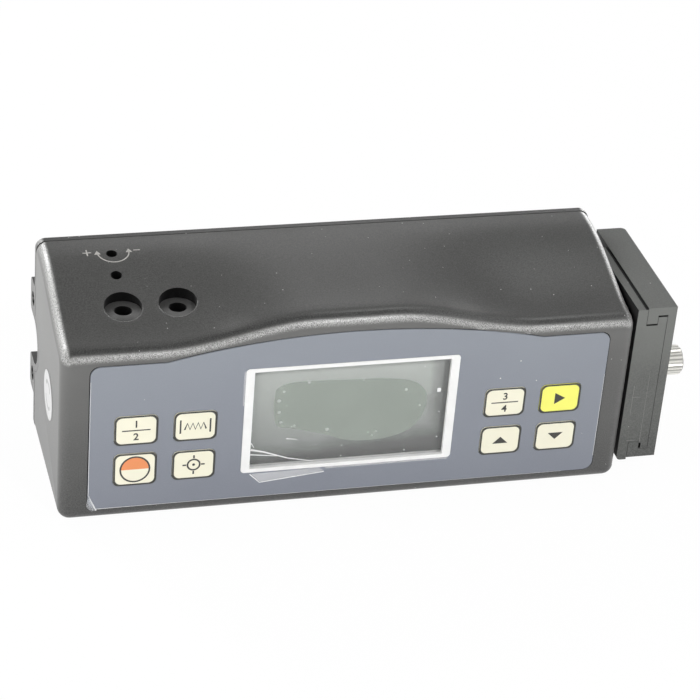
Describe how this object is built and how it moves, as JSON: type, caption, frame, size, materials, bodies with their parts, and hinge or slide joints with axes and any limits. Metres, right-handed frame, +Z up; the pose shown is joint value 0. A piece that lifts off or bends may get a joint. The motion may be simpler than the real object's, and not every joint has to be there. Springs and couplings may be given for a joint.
{
  "type": "surface roughness tester",
  "caption": "Hand-held surface roughness tester: arched black housing with display and keypad, pickup drive in a back trough, and a sliding end foot with a knurled lock knob.",
  "frame": {"origin": "centre of the housing's base face, under the housing without its end block", "axes": "+X along the housing towards the end block, +Y from the display to the measuring side at the back, +Z up"},
  "size_m": [0.1587, 0.0483, 0.0543],
  "materials": {
    "black_plastic": "fine spark texture",
    "steel": "bright",
    "nickel": "nickel-plated, straight knurl",
    "brass": "turned",
    "white_paper": "satin label",
    "white_plastic": "smooth",
    "clear_lens": "clear",
    "display_glass": "grey-green display, not lit",
    "grey_film": "smooth printed film",
    "cream_film": "printed film",
    "orange_film": "printed film",
    "yellow_film": "printed film",
    "green_board": "solder mask",
    "blue_plastic": "moulded",
    "red_lens": "not lit",
    "green_wrap": "shrink sleeve",
    "ruby": "polished"
  },
  "bodies": {
    "case": {"housing": "black_plastic", "back_cover": "black_plastic", "cover_screws": "steel", "round_label": "white_paper", "front_film": "grey_film", "display_frame": "white_plastic", "display_lens": "clear_lens", "lens_film": "clear_lens", "lcd_glass": "display_glass", "backlight": "white_plastic", "main_board": "green_board", "board_screws": "steel", "snap_domes": "brass", "socket_board": "green_board", "charge_jack": "black_plastic", "data_jack": "black_plastic", "trimmer_body": "blue_plastic", "charge_lamp": "red_lens", "battery_cells": "green_wrap", "battery_cradle": "black_plastic", "drive_frame": "steel", "frame_screws": "steel", "guide_rods": "steel", "motor": "steel", "rail_plate": "black_plastic", "plate_screws": "steel"},
    "sliding_foot": {"slide_foot": "black_plastic", "lock_bush": "brass"},
    "locking_knob": {"lock_knob": "nickel"},
    "trim_rotor": {"trimmer_rotor": "brass"},
    "screw": {"lead_screw": "steel", "drive_gear": "brass"},
    "pinion": {"motor_pinion": "brass"},
    "carriage": {"carriage": "black_plastic", "drive_nut": "brass", "pickup_body": "steel", "skid": "ruby"},
    "stylus": {"stylus_arm": "steel"},
    "key_select": {"key_select": "cream_film"},
    "key_range": {"key_range": "cream_film"},
    "key_power": {"key_power": "orange_film"},
    "key_adjust": {"key_adjust": "cream_film"},
    "key_units": {"key_units": "cream_film"},
    "key_run": {"key_run": "yellow_film"},
    "key_up": {"key_up": "cream_film"},
    "key_down": {"key_down": "cream_film"}
  },
  "joints": [
    {"name": "key_select_press", "type": "slide", "parent": "case", "child": "key_select", "axis": [0, 1, 0], "range_m": [0, 0.0003], "stiffness_N_per_m": 4000},
    {"name": "key_range_press", "type": "slide", "parent": "case", "child": "key_range", "axis": [0, 1, 0], "range_m": [0, 0.0003], "stiffness_N_per_m": 4000},
    {"name": "key_power_press", "type": "slide", "parent": "case", "child": "key_power", "axis": [0, 1, 0], "range_m": [0, 0.0003], "stiffness_N_per_m": 4000},
    {"name": "key_adjust_press", "type": "slide", "parent": "case", "child": "key_adjust", "axis": [0, 1, 0], "range_m": [0, 0.0003], "stiffness_N_per_m": 4000},
    {"name": "key_units_press", "type": "slide", "parent": "case", "child": "key_units", "axis": [0, 1, 0], "range_m": [0, 0.0003], "stiffness_N_per_m": 4000},
    {"name": "key_run_press", "type": "slide", "parent": "case", "child": "key_run", "axis": [0, 1, 0], "range_m": [0, 0.0003], "stiffness_N_per_m": 4000},
    {"name": "key_up_press", "type": "slide", "parent": "case", "child": "key_up", "axis": [0, 1, 0], "range_m": [0, 0.0003], "stiffness_N_per_m": 4000},
    {"name": "key_down_press", "type": "slide", "parent": "case", "child": "key_down", "axis": [0, 1, 0], "range_m": [0, 0.0003], "stiffness_N_per_m": 4000},
    {"name": "foot_slide", "type": "slide", "parent": "case", "child": "sliding_foot", "axis": [0, 1, 0], "range_m": [0, 0.008]},
    {"name": "knob_turn", "type": "hinge", "parent": "sliding_foot", "child": "locking_knob", "pos_m": [0.0846, -0.00991, 0.0264], "axis": [1, 0, 0], "range_deg": [0, 720]},
    {"name": "trim_turn", "type": "hinge", "parent": "case", "child": "trim_rotor", "pos_m": [-0.0533, 0.01207, 0.045], "axis": [0, 0, 1], "range_deg": [-135, 135]},
    {"name": "screw_turn", "type": "hinge", "parent": "case", "child": "screw", "pos_m": [0.0246, 0.00465, 0.0255], "axis": [1, 0, 0], "range_deg": [0, 1080]},
    {"name": "pinion_turn", "type": "hinge", "parent": "case", "child": "pinion", "pos_m": [-0.0094, -0.00545, 0.0255], "axis": [1, 0, 0], "range_deg": [-3240, 0]},
    {"name": "pickup_travel", "type": "slide", "parent": "case", "child": "carriage", "axis": [-1, 0, 0], "range_m": [0, 0.006]},
    {"name": "stylus_swing", "type": "hinge", "parent": "carriage", "child": "stylus", "pos_m": [0.03795, 0.02005, 0.0255], "axis": [0, 0, 1], "range_deg": [-1.2, 0.6], "stiffness_Nm_per_rad": 0.02}
  ],
  "couplings": [
    {"joint": "screw_turn", "follows": "pickup_travel", "rad_per_m": 3141.6},
    {"joint": "pinion_turn", "follows": "pickup_travel", "rad_per_m": -9424.8}
  ]
}
